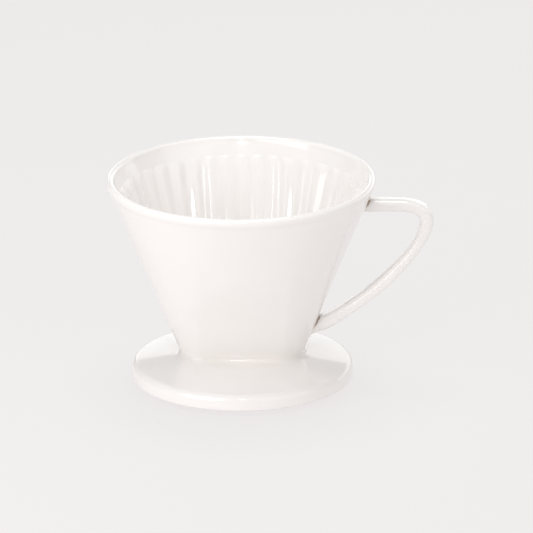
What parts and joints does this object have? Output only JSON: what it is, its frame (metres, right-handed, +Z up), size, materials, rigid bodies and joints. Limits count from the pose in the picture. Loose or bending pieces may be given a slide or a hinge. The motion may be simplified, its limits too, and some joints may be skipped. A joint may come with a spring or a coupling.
{
  "type": "pour over dripper",
  "caption": "White porcelain pour over coffee dripper: ribbed funnel with an oblong floor, saucer flange with a locating ring, and a strap handle.",
  "frame": {"origin": "centre of the locating ring at its foot, which is the level that the dripper stands on", "axes": "+X towards the handle and along the oblong floor, +Z up along the locating ring's axis"},
  "size_m": [0.158, 0.13, 0.1045],
  "materials": {
    "glazed_porcelain": "gloss"
  },
  "bodies": {
    "root": {"cone_wall": "glazed_porcelain", "filter_ribs": "glazed_porcelain", "cone_floor": "glazed_porcelain", "saucer_flange": "glazed_porcelain", "neck_fillet": "glazed_porcelain", "locating_ring": "glazed_porcelain", "handle": "glazed_porcelain", "upper_handle_joint": "glazed_porcelain", "lower_handle_joint": "glazed_porcelain"}
  },
  "joints": []
}
